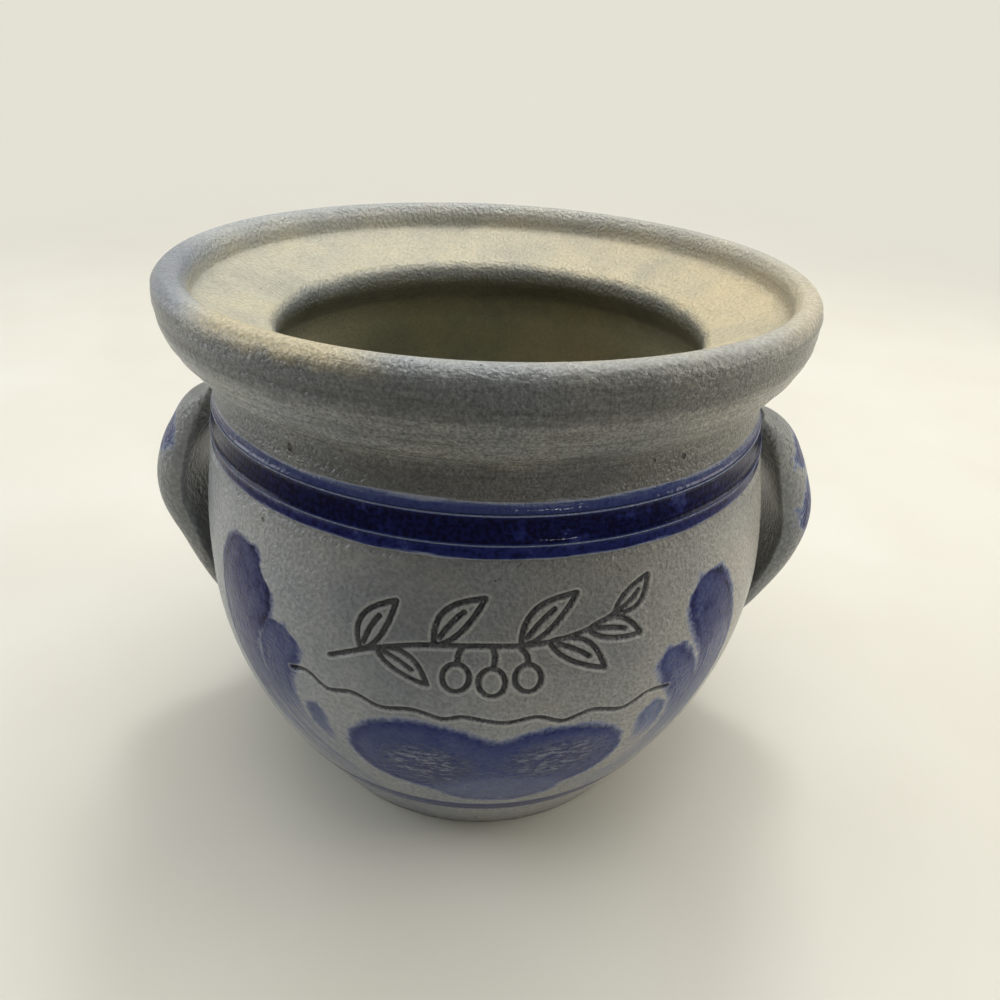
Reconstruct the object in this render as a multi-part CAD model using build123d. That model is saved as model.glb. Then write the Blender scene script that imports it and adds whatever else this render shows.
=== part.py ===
from build123d import *
import os

# Thrown jar body: heights above the foot, and how far each radius lies inside the belly's
jar_height = 120.0
belly_radius = 64.4
belly_height = 55.4
foot_inset = 18.9
foot_bevel = 0.6
lower_wall_inset = 10.8
lower_wall_height = 16.1
shoulder_inset = 2.7
neck_inset = 7.3

# Neck: its corner under the rim lies this far below the crest, and the shoulder below the corner
neck_drop = 18.5
shoulder_drop = 21.6

# Walls left by throwing and turning
wall_thickness = 5.6
floor_thickness = 7.0
floor_corner_width = 15.5

# Flared rim: its underside in two facets from the neck's corner, then its upright face
rim_under_flare = 4.1
rim_under_rise = 3.1
rim_flare = 8.5
rim_edge_inset = 0.6
rim_edge_rise = 9.1
rim_face_rise = 11.3
crest_inset = 2.6
crest_rise = 3.0

# Sloping seat for a lid inside the rim: measured inwards and down from the crest
lip_rounding = 2.7
lip_depth = 1.9
gallery_inset = 3.2
gallery_depth = 5.1
gallery_cove = 0.8
seat_drop = 6.0

# Round throat under the seat
throat_inset = 12.3
throat_rounding = 1.4
throat_rounding_depth = 1.7
throat_length = 3.6
throat_root_drop = 6.1

# Turned lines below the neck's corner: drop to the line, its width and its rise, or depth
upper_ridge_drop, upper_ridge_width, upper_ridge_rise = 7.9, 1.5, 0.45
lower_ridge_drop, lower_ridge_width, lower_ridge_rise = 12.9, 1.3, 0.40
groove_drop, groove_width, groove_depth = 15.9, 1.2, 0.35

# Turned line on the rim's underside, above its lower facet
rim_line_rise, rim_line_width, rim_line_relief = 3.7, 0.9, 0.25

# Pulled strap handles: line of the strap's flat side against the neck and belly, and its half-round section
handle_projection = 6.1
handle_root_depth = 1.1
handle_top_drop = 12.2
handle_tail_drop = 27.4
handle_width = 21.5
handle_crown = 8.5
handle_flat_depth = 1.0
handle_edge_width = 1.6

# Line from the neck down to the belly: share of the reach and share of the height
right_handle_shares = [
    (0.00, 1.00), (0.26, 0.946), (0.635, 0.809), (0.94, 0.636), (0.855, 0.385), (0.415, 0.171), (-0.07, 0.033),
]
left_handle_shares = [
    (0.00, 1.00), (0.39, 0.909), (0.725, 0.788), (1.00, 0.636), (0.87, 0.427), (0.545, 0.181), (-0.07, 0.00),
]

# The strap is pressed thin at its two roots, widest at the top one
strap_width_shares = [1.10, 1.05, 1.00, 1.00, 1.00, 1.00, 0.97, 0.95, 0.95]
strap_crown_shares = [0.20, 0.82, 0.95, 0.99, 1.00, 0.85, 0.70, 0.60, 0.34]

# Radii and heights that follow from the sizes above
foot_radius = belly_radius - foot_inset
lower_wall_radius = belly_radius - lower_wall_inset
neck_height = jar_height - neck_drop
neck_radius = belly_radius - neck_inset
shoulder_height = neck_height - shoulder_drop
shoulder_radius = belly_radius - shoulder_inset
rim_radius = neck_radius + rim_flare
crest_radius = rim_radius - crest_inset
throat_radius = neck_radius - throat_inset


def point_between(low, high, height):
    """Point of the straight wall from low to high at a height."""
    share = (height - low[1]) / (high[1] - low[1])
    return (low[0] + share * (high[0] - low[0]), height)


def turned_wall(low, high, lines):
    """Straight wall from low to high with a round ridge or groove for each turned line."""
    start = low
    for height, width, relief in lines:
        first = point_between(low, high, height - width / 2)
        middle = point_between(low, high, height)
        last = point_between(low, high, height + width / 2)
        Line(start, first)
        ThreePointArc(first, (middle[0] + relief, middle[1]), last)
        start = last
    Line(start, high)


def outer_wall():
    """Outside from the axis under the foot, up the belly and neck, to the crest of the rim."""
    foot_edge = (foot_radius, foot_bevel)
    lower_wall = (lower_wall_radius, lower_wall_height)
    shoulder = (shoulder_radius, shoulder_height)
    neck = (neck_radius, neck_height)
    rim_under = (neck_radius + rim_under_flare, neck_height + rim_under_rise)
    rim_edge = (rim_radius - rim_edge_inset, neck_height + rim_edge_rise)
    rim_face = (rim_radius, neck_height + rim_face_rise)
    face_top = (rim_radius, jar_height - crest_rise)
    crest = (crest_radius, jar_height)
    Polyline((0, 0), (foot_radius - foot_bevel, 0), foot_edge)
    foot_slope = (lower_wall[0] - foot_edge[0], lower_wall[1] - foot_edge[1])
    neck_slope = (neck[0] - shoulder[0], neck[1] - shoulder[1])
    Spline(foot_edge, lower_wall, (belly_radius, belly_height), shoulder, tangents=[foot_slope, neck_slope])
    turned_wall(shoulder, neck, [
        (neck_height - groove_drop, groove_width, -groove_depth),
        (neck_height - lower_ridge_drop, lower_ridge_width, lower_ridge_rise),
        (neck_height - upper_ridge_drop, upper_ridge_width, upper_ridge_rise),
    ])
    Line(neck, rim_under)
    turned_wall(rim_under, rim_edge, [(rim_under[1] + rim_line_rise, rim_line_width, rim_line_relief)])
    Polyline(rim_edge, rim_face, face_top)
    Spline(face_top, crest, tangents=[(0, 1), (-1, 0)])
    return crest


def inner_wall(crest):
    """Inside from the crest over the lid seat, through the throat and down to the floor."""
    lip_foot = (crest[0] - lip_rounding, crest[1] - lip_depth)
    gallery = (crest[0] - gallery_inset, crest[1] - gallery_depth)
    seat_foot = (throat_radius + throat_rounding, gallery[1] - seat_drop)
    throat_top = (throat_radius, seat_foot[1] - throat_rounding_depth)
    throat_bottom = (throat_radius, throat_top[1] - throat_length)
    wall_top = (neck_radius - wall_thickness, throat_bottom[1] - throat_root_drop)
    floor_edge = (foot_radius - floor_corner_width, floor_thickness)
    lip_slope = (gallery[0] - lip_foot[0], gallery[1] - lip_foot[1])
    seat_slope = (seat_foot[0] - gallery[0], seat_foot[1] - gallery[1])
    neck_slope = (shoulder_radius - neck_radius, shoulder_height - neck_height)
    Spline(crest, lip_foot, tangents=[(-1, 0), lip_slope])
    FilletPolyline(lip_foot, gallery, seat_foot, radius=gallery_cove)
    Spline(seat_foot, throat_top, tangents=[seat_slope, (0, -1)])
    Line(throat_top, throat_bottom)
    Spline(throat_bottom, wall_top, tangents=[(0, -1), neck_slope])
    Spline(
        wall_top,
        (shoulder_radius - wall_thickness, shoulder_height),
        (belly_radius - wall_thickness, belly_height),
        (lower_wall_radius - wall_thickness, lower_wall_height + wall_thickness / 2),
        floor_edge,
        tangents=[neck_slope, (-1, 0)],
    )
    Polyline(floor_edge, (0, floor_thickness), (0, 0))


def jar_body():
    """Jar with its hollow, turned as one piece about the axis."""
    with BuildPart() as body:
        with BuildSketch(Plane.XZ):
            with BuildLine():
                inner_wall(outer_wall())
            make_face()
        revolve(axis=Axis.Z)
    return body.part


def filled_body():
    """Outside of the jar without its hollow, which the handles are pressed on."""
    with BuildPart() as body:
        with BuildSketch(Plane.XZ):
            with BuildLine():
                crest = outer_wall()
                Polyline(crest, (0, crest[1]), (0, 0))
            make_face()
        revolve(axis=Axis.Z)
    return body.part


def half_round(width, crown, side):
    """Section of the strap: crowned away from the jar, flat towards it, with rounded edges."""
    half = width / 2
    flat = side * -handle_flat_depth
    flat_half = half - handle_edge_width
    corner = (half - 0.3 * handle_edge_width, 0.7 * flat)
    EllipticalCenterArc((0, 0), half, crown, start_angle=0 if side > 0 else 180, arc_size=180)
    ThreePointArc((-half, 0), (-corner[0], corner[1]), (-flat_half, flat))
    Line((-flat_half, flat), (flat_half, flat))
    ThreePointArc((flat_half, flat), corner, (half, 0))


def strap_handle(line_shares, side):
    """Strap lofted down its line, with its two ends cut to the outside of the jar."""
    root_radius = neck_radius - handle_root_depth
    reach = belly_radius + handle_projection - root_radius
    tail_height = belly_height - handle_tail_drop
    length = neck_height - handle_top_drop - tail_height
    points = []
    for reach_share, height_share in line_shares:
        points.append((side * (root_radius + reach_share * reach), 0, tail_height + height_share * length))
    path = Spline(*points)
    last = len(strap_width_shares) - 1
    with BuildPart() as strap:
        for station, width_share in enumerate(strap_width_shares):
            along = station / last
            with BuildSketch(Plane(origin=path @ along, x_dir=(0, 1, 0), z_dir=path % along)):
                with BuildLine():
                    half_round(handle_width * width_share, handle_crown * strap_crown_shares[station], side)
                make_face()
        loft()
    return strap.part - filled_body()


os.makedirs("parts", exist_ok=True)
export_step(jar_body(), "parts/jar_body.step")
export_step(strap_handle(left_handle_shares, -1), "parts/left_handle.step")
export_step(strap_handle(right_handle_shares, 1), "parts/right_handle.step")
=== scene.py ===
import math

import bpy
import mathutils
import numpy as np
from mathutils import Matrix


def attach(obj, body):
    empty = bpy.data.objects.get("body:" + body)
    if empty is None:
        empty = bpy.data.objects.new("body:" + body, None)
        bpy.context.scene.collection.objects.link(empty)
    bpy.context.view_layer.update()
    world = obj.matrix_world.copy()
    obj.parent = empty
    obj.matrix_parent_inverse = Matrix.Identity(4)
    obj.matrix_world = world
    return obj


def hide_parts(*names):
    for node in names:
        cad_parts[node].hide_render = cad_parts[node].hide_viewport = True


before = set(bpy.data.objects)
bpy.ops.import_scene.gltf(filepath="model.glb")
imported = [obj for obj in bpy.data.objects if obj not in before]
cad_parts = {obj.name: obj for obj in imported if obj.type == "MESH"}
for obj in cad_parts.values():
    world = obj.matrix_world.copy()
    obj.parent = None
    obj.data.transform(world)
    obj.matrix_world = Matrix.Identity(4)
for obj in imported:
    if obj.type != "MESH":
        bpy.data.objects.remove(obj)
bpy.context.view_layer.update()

# The jar
# A round-bellied pot of grey stoneware, thrown on the wheel in one piece: foot, belly, neck, and a wide
# rim with a sloping seat for a lid. Cobalt is brushed on the bare clay, lines are cut with a stylus, and
# salt thrown into the kiln glazes everything but the foot.

# Sizes in mm. The decoration is laid out on the belly's radius: millimetres across are the angle from the
# front times it.
BELLY, FOOT_RADIUS = 64.4, 45.5
FOOT_BEVEL, FOOT_TOP, BELLY_HEIGHT = 0.6, 16.1, 55.4
NECK_FOOT, NECK_TOP, THROAT, RIM_CORNER = 79.9, 101.5, 103.4, 110.6
NECK_GROOVE, LOWER_RIDGE, UPPER_RIDGE = 85.6, 88.65, 93.6
PANEL_FOOT, PANEL_TOP, PANEL_LEFT, PANEL_RIGHT = 50.0, 83.0, -39, 40    # round the cut lines: mm, degrees
CUT_DEPTH, BURR_HEIGHT = 0.62, 0.14


def belly_radius(height):
    """Outside radius in mm at a height in mm: a straight foot, two cubic spans over the belly, a straight
    neck."""
    knots = np.array([FOOT_TOP, BELLY_HEIGHT, NECK_FOOT])
    radii = np.array([53.6, BELLY, 61.7])
    slopes = np.array([0.5226, 0.0191, -0.2130])
    span = np.clip(np.searchsorted(knots, height) - 1, 0, 1)
    width = knots[span + 1] - knots[span]
    t = np.clip((height - knots[span]) / width, 0, 1)
    curve = (
        (2 * t**3 - 3 * t**2 + 1) * radii[span]
        + (t**3 - 2 * t**2 + t) * width * slopes[span]
        + (3 * t**2 - 2 * t**3) * radii[span + 1]
        + (t**3 - t**2) * width * slopes[span + 1]
    )
    foot = FOOT_RADIUS + (height - FOOT_BEVEL) * slopes[0]
    neck = radii[2] + (height - NECK_FOOT) * slopes[2]
    return np.where(height < FOOT_TOP, foot, np.where(height > NECK_FOOT, neck, curve))


def eased(corners, radii):
    """A line through corner points with each corner rounded: it leaves the corner's arms at the tangent
    length of the wanted radius and crosses on a parabola."""
    corners = np.asarray(corners, float)
    arms = np.diff(corners, axis=0)
    lengths = np.hypot(arms[:, 0], arms[:, 1])
    ways = arms / lengths[:, None]
    before, after = ways[:-1], ways[1:]
    turn = np.arccos(np.clip((before * after).sum(1), -1, 1))
    longest = 0.48 * np.minimum(lengths[:-1], lengths[1:])
    reach = np.minimum(np.asarray(radii) * np.tan(turn / 2), longest)[:, None]
    t = np.linspace(0, 1, 9)[None, :, None]
    start, end = corners[1:-1] - before * reach, corners[1:-1] + after * reach
    arcs = (1 - t)**2 * start[:, None] + 2 * t * (1 - t) * corners[1:-1, None] + t**2 * end[:, None]
    return np.vstack([corners[:1], arcs.reshape(-1, 2), corners[-1:]])


def smooth_line(points, per_span=10):
    """A curve through points: every span is a cubic whose end slopes are half the step between its
    neighbours."""
    p = np.asarray(points, float)
    slope = np.vstack([p[1:2] - p[:1], (p[2:] - p[:-2]) / 2, p[-1:] - p[-2:-1]])
    t = np.linspace(0, 1, per_span, endpoint=False)[None, :, None]
    spans = (
        (2 * t**3 - 3 * t**2 + 1) * p[:-1, None]
        + (t**3 - 2 * t**2 + t) * slope[:-1, None]
        + (3 * t**2 - 2 * t**3) * p[1:, None]
        + (t**3 - t**2) * slope[1:, None]
    )
    return np.vstack([spans.reshape(-1, p.shape[1]), p[-1:]])


# The wall in section, radius and height in mm, from the middle of the underside, up the outside, over the
# rim, and down the inside to the middle of the floor.
outside_heights = np.linspace(FOOT_BEVEL, NECK_TOP, 202)
outside_wall = np.stack([belly_radius(outside_heights), outside_heights], 1)
rim_section = eased(
    [(57.4, 100.1), (57.1, NECK_TOP), (61.2, 104.6), (65.0, RIM_CORNER), (65.6, 112.8), (65.75, 117.2),
     (65.2, 119.2), (63.8, 120.0), (61.3, 119.9), (60.3, 118.1), (59.8, 114.9), (46.2, 108.8), (44.8, 107.2),
     (44.8, THROAT), (51.5, 97.2), (53.2, 94.0)],
    [0.9, 6.0, 1.6, 3.0, 3.2, 1.8, 1.8, 1.5, 1.8, 0.8, 1.8, 1.2, 2.0, 5.0],
)
inside_wall = smooth_line([
    (53.2, 94.0), (56.1, NECK_FOOT), (58.8, BELLY_HEIGHT), (55.6, 35.0), (48.0, 18.9), (41.0, 11.2),
    (30.0, 7.4), (14.0, 7.0), (0.0, 7.0),
], 16)
foot_section = eased([(0.0, 0.45), (36.0, 0.45), (40.0, 0.0), (45.3, 0.0), (FOOT_RADIUS, FOOT_BEVEL)],
                     [1.5, 1.5, 0.3])
section = np.vstack([foot_section, outside_wall[1:-1], rim_section[1:], inside_wall[1:]])
steps = np.hypot(*np.diff(section, axis=0).T)
section = section[np.r_[True, steps > 1e-4]]
along = np.r_[0, np.cumsum(np.hypot(*np.diff(section, axis=0).T))]


def along_at(height, low, high):
    """Distance along the section, in mm, at which the part between two section distances reaches a
    height."""
    part = (along >= low) & (along <= high)
    order = np.argsort(section[part, 1])
    return float(np.interp(height, section[part, 1][order], along[part][order]))


crest = float(along[np.argmax(section[:, 1])])
foot_edge = along_at(1.0, 0, crest)
panel_low, panel_high = along_at(PANEL_FOOT, foot_edge, crest), along_at(PANEL_TOP, foot_edge, crest)
band_low, neck_top = along_at(84.5, foot_edge, crest), along_at(NECK_TOP, foot_edge, crest)
rim_corner = along_at(RIM_CORNER, foot_edge, crest)
throat = along_at(THROAT, crest, along[-1])
inside_low = along_at(12.0, crest, along[-1])

# Rows lie close together where the section has fine forms, and 200 columns go round.
spacing = np.interp(
    along,
    [0, 38, 43, foot_edge, foot_edge + 4, panel_low, panel_high, band_low, band_low + 12, neck_top, crest,
     crest + 5, crest + 7, crest + 9, crest + 11, throat - 6, throat, throat + 8, inside_low, along[-1]],
    [4.0, 2.0, 0.7, 0.5, 1.8, 1.7, 1.7, 0.37, 0.40, 0.62, 0.5,
     0.5, 0.32, 0.32, 0.8, 0.7, 0.8, 2.0, 2.6, 4.5],
)
row_count = np.r_[0, np.cumsum((1 / spacing[1:] + 1 / spacing[:-1]) / 2 * np.diff(along))]
rows = np.interp(np.arange(1, int(row_count[-1])), row_count, along)
columns = 200
angles = np.linspace(-math.pi, math.pi, columns, endpoint=False)

# The stylus cut a wavy line under a sprig of olive. Points are in mm: across from the front's middle, and
# height.


def leaf(foot, tip, width, bend):
    """A leaf's outline and middle rib: two sine bulges to either side of a middle line that bends by a
    sine."""
    foot, tip = np.array(foot, float), np.array(tip, float)
    run = tip - foot
    side = np.array([-run[1], run[0]]) / math.hypot(run[0], run[1])
    t = np.linspace(0, 1, 24)
    middle = foot + np.outer(t, run) + np.outer(bend * np.sin(math.pi * t), side)
    half = (width / 2 * np.sin(math.pi * t**0.85).clip(0)**0.9)[:, None] * side
    return [np.vstack([middle + half, (middle - half)[::-1]]), middle[3:16]]


def fruit(centre, radii, lean):
    """An olive's outline: an ellipse turned by a few degrees."""
    t = np.linspace(0, 2 * math.pi, 36)
    x, y = radii[0] * np.cos(t), radii[1] * np.sin(t)
    c, s = math.cos(math.radians(lean)), math.sin(math.radians(lean))
    return np.stack([centre[0] + c * x - s * y, centre[1] + s * x + c * y], 1)


stylus_lines = [
    smooth_line([
        (-35, 55.4), (-31, 56.4), (-26.5, 54.2), (-21, 55.6), (-15.5, 54.0), (-9.5, 55.0), (-4, 53.7),
        (0, 54.6), (7, 53.3), (13, 54.4), (18, 52.6), (23.5, 54.1), (30, 52.3), (35.5, 54.3), (40.5, 53.4),
    ], 8),
    smooth_line([
        (-25.5, 62.8), (-17, 67.0), (-8, 69.6), (2, 70.4), (12, 70.6), (21, 72.3), (28.5, 75.6),
    ], 8),
    smooth_line([(-0.5, 70.3), (-1.3, 68.6), (-1.5, 66.6)], 5),
    smooth_line([(4.5, 70.5), (5.0, 68.4), (4.8, 65.9)], 5),
    smooth_line([(9.0, 70.5), (10.4, 68.7), (10.9, 66.7)], 5),
    fruit((-1.7, 63.6), (2.35, 3.0), -6),
    fruit((4.6, 62.9), (2.35, 3.0), 3),
    fruit((10.9, 63.7), (2.3, 2.95), 9),
]
for one_leaf in (
    ((-19.0, 66.3), (-12.5, 77.3), 4.6, 1.0), ((-16.0, 67.4), (-6.8, 61.4), 4.2, 0.9),
    ((-5.5, 70.0), (3.0, 79.3), 4.6, 1.0), ((9.5, 70.5), (19.0, 79.6), 4.6, 1.0),
    ((14.5, 70.9), (25.0, 63.8), 4.4, 0.9), ((21.5, 72.4), (32.0, 69.3), 4.0, 0.8),
    ((26.5, 74.5), (33.0, 80.3), 3.8, -0.6),
):
    stylus_lines += leaf(*one_leaf)


def nearest(line, across, height):
    """For places on the laid-out wall: the distance to a line of points, how far along it the nearest
    point is, and on which side. Every place is set against every piece of the line at once."""
    start, run = line[:-1], np.diff(line, axis=0)
    length = np.hypot(run[:, 0], run[:, 1])
    u, v = across.reshape(-1, 1) - start[:, 0], height.reshape(-1, 1) - start[:, 1]
    t = np.clip((u * run[:, 0] + v * run[:, 1]) / length**2, 0, 1)
    gap = np.hypot(u - t * run[:, 0], v - t * run[:, 1])
    best = gap.argmin(1)
    pick = np.arange(len(best)), best
    side = np.sign(run[best, 0] * v[pick] - run[best, 1] * u[pick])
    travel = np.r_[0, np.cumsum(length)][best] + t[pick] * length[best]
    shape = across.shape
    return gap[pick].reshape(shape), travel.reshape(shape), side.reshape(shape)


OFF_LINE = 4.0    # mm, stands for anywhere off the cut lines


def stylus_distance(across, height):
    """Distance in mm to the nearest cut line, no more than OFF_LINE."""
    closest = np.full(across.shape, OFF_LINE)
    for line in stylus_lines:
        low, high = line.min(0) - OFF_LINE, line.max(0) + OFF_LINE
        near = (across > low[0]) & (across < high[0]) & (height > low[1]) & (height < high[1])
        closest[near] = np.minimum(closest[near], nearest(line, across[near], height[near])[0])
    return closest


def hump(x, middle, width):
    """A smooth round hump, one high, at a middle."""
    return np.exp(-((x - middle) / width)**2)


def turned_height(height, angle):
    """The height that a turned line has at this place, in mm: the lines rise and fall a little on their
    way round."""
    return height + 0.12 * np.sin(angle + 2.0) + 0.08 * np.sin(2 * angle)


def relief(s, angle, height, cut):
    """How far the surface stands proud of the plain section, in mm: ridges and grooves turned at the
    neck, the hollows and thrown-up edges of the cut lines, finger rings, and the slight wander of a
    thrown pot."""
    outer = (s > foot_edge) & (s < crest)
    wander = 0.12 * np.sin(2 * angle + 0.6) + 0.06 * np.sin(3 * angle + height / 17)
    wander += 0.04 * np.sin(5 * angle - 1)
    wander += np.interp(height, [0, 17, 60, 92, 116], [-0.4, -0.45, 0.6, 0.1, -0.35]) * np.sin(angle)
    wander += 0.3 * hump(height, 120, 5) * (1 - 0.5 * np.cos(angle))
    z = turned_height(height, angle)
    ridges = (
        0.50 * hump(z, UPPER_RIDGE, 0.42) + 0.46 * hump(z, LOWER_RIDGE, 0.36)
        - 0.38 * hump(z, NECK_GROOVE, 0.5)
        + 0.16 * hump(z, 84.7, 0.35) + 0.20 * hump(z, 96.6, 0.5) + 0.30 * hump(z, 108.3, 0.34)
        - 0.16 * hump(z, 107.6, 0.4) - 0.10 * hump(z, 91.2, 0.8) + 0.15 * hump(z, 19.6, 0.5)
        - 0.15 * hump(z, 14.3, 0.6)
    )
    turning = 0.035 * np.sin(z * 5.1 + np.sin(angle * 2)) + 0.03 * np.sin(z * 2.3 + 1.5 * np.sin(angle))
    rough = np.where(z > 95, 1.3, 0.35)
    cuts = -CUT_DEPTH * hump(cut, 0, 0.46) + BURR_HEIGHT * hump(cut, 0.85, 0.28)
    inner = s > throat + 2
    rings = 0.16 * np.sin(s / 1.15 + 0.5 * np.sin(angle + s / 30)) * np.sin(s / 9.0)
    rings += 0.1 * np.sin(s / 3.3 + angle)
    seat = (s >= crest) & (s < throat)
    scored = 0.03 * np.sin(s * 4.0 + np.sin(angle)) + 0.03 * np.sin(s * 1.7)
    fade = np.clip(s / foot_edge - 0.6, 0, 1) * 2.5
    end = np.clip((along[-1] - s) / 30, 0, 1)
    return (
        wander * np.minimum(fade, 1) * end
        + np.where(outer, ridges + turning * rough + cuts, 0)
        + np.where(inner, rings * end, 0)
        + np.where(seat, scored, 0)
    )


def jar_surface(s, angle):
    """The jar's wall in metres for distances s along the section and angles round the axis: the section
    is turned about the axis, and the relief is added along its normal. Also gives the attributes that the
    glaze reads."""
    radius, height = np.interp(s, along, section[:, 0]), np.interp(s, along, section[:, 1])
    ahead, behind = np.minimum(s + 0.15, along[-1]), np.maximum(s - 0.15, 0)
    rise = np.interp(ahead, along, section[:, 1]) - np.interp(behind, along, section[:, 1])
    flare = np.interp(ahead, along, section[:, 0]) - np.interp(behind, along, section[:, 0])
    size = np.hypot(rise, flare)
    across = angle * BELLY
    outer = (s > foot_edge) & (s < crest)
    cut = np.where(outer, stylus_distance(across, height), OFF_LINE)
    proud = relief(s, angle, height, cut)
    radius, height_now = radius + proud * rise / size, height - proud * flare / size
    place = np.stack([radius * np.sin(angle), -radius * np.cos(angle), height_now], -1) / 1000
    return place, across, height, cut, outer


grid_s, grid_angle = np.meshgrid(rows, angles, indexing="ij")

# The front panel with the cut lines has a grid seven times finer. Its border cells take in the finer
# points, so that the two grids join without gaps.
FINER = 7
row_a, row_b = np.searchsorted(rows, panel_low), np.searchsorted(rows, panel_high)
col_a, col_b = np.searchsorted(angles, np.radians([PANEL_LEFT, PANEL_RIGHT]))
fine_rows = np.interp(np.arange((row_b - row_a) * FINER + 1) / FINER + row_a, np.arange(len(rows)), rows)
fine_angles = np.interp(np.arange((col_b - col_a) * FINER + 1) / FINER + col_a, np.arange(columns), angles)
fine_s, fine_angle = np.meshgrid(fine_rows, fine_angles, indexing="ij")
all_s = np.r_[grid_s.ravel(), fine_s.ravel(), 0.0, along[-1]]
all_angle = np.r_[grid_angle.ravel(), fine_angle.ravel(), 0.0, 0.0]
places, across, height, cut, outer = jar_surface(all_s, all_angle)

index = np.arange(grid_s.size).reshape(grid_s.shape)
fine = grid_s.size + np.arange(fine_s.size).reshape(fine_s.shape)
index[row_a:row_b + 1, col_a:col_b + 1] = fine[::FINER, ::FINER]
ring = np.concatenate([index, index[:, :1]], 1)
cells = np.stack([ring[:-1, :-1], ring[:-1, 1:], ring[1:, 1:], ring[1:, :-1]], -1)
plain = np.ones(cells.shape[:2], bool)
plain[row_a - 1:row_b + 1, col_a:col_b] = False
plain[row_a:row_b, [col_a - 1, col_b]] = False
fine_cells = np.stack([fine[:-1, :-1], fine[:-1, 1:], fine[1:, 1:], fine[1:, :-1]], -1).reshape(-1, 4)
runs = np.arange(FINER + 1)
over = np.arange(col_a, col_b)
up = np.arange(row_a, row_b)
edge_over = (over - col_a)[:, None] * FINER + runs
edge_up = (up - row_a)[:, None] * FINER + runs
borders = np.vstack([
    np.column_stack([fine[-1][edge_over], ring[row_b + 1, over + 1], ring[row_b + 1, over]]),
    np.column_stack([fine[0][edge_over][:, ::-1], ring[row_a - 1, over], ring[row_a - 1, over + 1]]),
    np.column_stack([fine[:, 0][edge_up][:, ::-1], ring[up, col_a - 1], ring[up + 1, col_a - 1]])[:, ::-1],
    np.column_stack([fine[:, -1][edge_up][:, ::-1], ring[up, col_b + 1], ring[up + 1, col_b + 1]]),
])
under, floor_middle = len(all_s) - 2, len(all_s) - 1
fans = np.vstack([
    np.stack([np.full(columns, under), ring[0, 1:], ring[0, :-1]], 1),
    np.stack([ring[-1, :-1], ring[-1, 1:], np.full(columns, floor_middle)], 1),
])
faces = [cells[plain], fine_cells, borders, fans]
used, packed = np.unique(np.concatenate([f.ravel() for f in faces]), return_inverse=True)
sizes = np.cumsum([f.size for f in faces])
faces = [p.reshape(f.shape) for p, f in zip(np.split(packed, sizes[:-1]), faces)]


def surface_piece(name, places, faces):
    """A smooth-shaded mesh object from arrays of points in metres and of faces."""
    mesh = bpy.data.meshes.new(name)
    mesh.from_pydata(places.tolist(), [], [face for block in faces for face in block.tolist()])
    mesh.shade_smooth()
    piece = bpy.data.objects.new(name, mesh)
    bpy.context.scene.collection.objects.link(piece)
    return piece


def keep(piece, name, values):
    """Stores one number, or three, for every point of a piece, for its material to read."""
    kind, field = ("FLOAT", "value") if values.ndim == 1 else ("FLOAT_VECTOR", "vector")
    piece.data.attributes.new(name, kind, "POINT").data.foreach_set(field, values.astype(np.float32).ravel())


jar = surface_piece("salt_glazed_jar", places[used], faces)
keep(jar, "along_wall", all_s[used])
keep(jar, "cut_distance", cut[used])
keep(jar, "turned_height", turned_height(height, all_angle)[used])

# Brushwork: round-headed strokes that trail off as dry streaks down the belly, three at each side, and a
# blot of two lobes below the line. Each stroke is a line of (across, height, half width), all in mm.
FAR = 20.0    # mm, stands for anywhere off the brushwork
strokes = {
    "first_stroke": [
        [(-45.0, 76.0, 1.5), (-46.6, 73.5, 7.6), (-49.2, 67.0, 9.4), (-51.4, 59.0, 7.6), (-50.0, 50.0, 6.0),
         (-45.5, 42.5, 5.6), (-39.0, 35.0, 5.4), (-31.0, 27.5, 5.0), (-23.0, 22.0, 3.0)],
        [(47.0, 75.5, 0.5), (48.2, 73.0, 5.6), (51.8, 66.5, 6.8), (54.6, 58.0, 6.0), (54.0, 50.0, 5.6),
         (50.5, 43.0, 5.4), (45.5, 36.0, 5.2), (38.5, 29.0, 4.8), (31.0, 23.5, 3.0)],
    ],
    "second_stroke": [
        [(-36.4, 64.4, 0.5), (-37.0, 62.6, 4.9), (-38.8, 57.5, 5.4), (-39.6, 52.0, 4.4), (-38.0, 46.0, 3.4),
         (-34.0, 40.0, 2.4), (-28.0, 34.5, 1.2)],
        [(39.0, 63.2, 0.4), (39.8, 61.4, 3.5), (42.6, 57.0, 4.3), (45.3, 51.5, 3.8), (45.6, 46.0, 3.0),
         (43.0, 40.0, 2.2), (39.0, 35.5, 1.0)],
    ],
    "third_stroke": [
        [(-30.8, 48.4, 0.3), (-30.8, 46.8, 2.2), (-30.2, 43.0, 2.2), (-28.2, 39.0, 1.5), (-25.0, 35.5, 0.8)],
        [(38.4, 50.6, 0.4), (38.4, 48.2, 3.3), (38.0, 43.5, 3.1), (36.8, 39.0, 2.4), (34.5, 34.5, 1.4)],
    ],
}
for name, pair in strokes.items():
    best = np.stack([np.full(len(used), FAR), np.zeros(len(used)), np.zeros(len(used))], 1)
    for points in pair:
        line = smooth_line(points, 8)
        near = outer[used] & (np.sign(across[used]) == np.sign(points[0][0])) & (height[used] < 90)
        gap, travel, side = nearest(line[:, :2], across[used][near], height[used][near])
        lengths = np.r_[0, np.cumsum(np.hypot(*np.diff(line[:, :2], axis=0).T))]
        half = np.interp(travel, lengths, line[:, 2])
        best[near] = np.stack([gap - half, travel, gap * side], 1)
    keep(jar, name, best)

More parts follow.
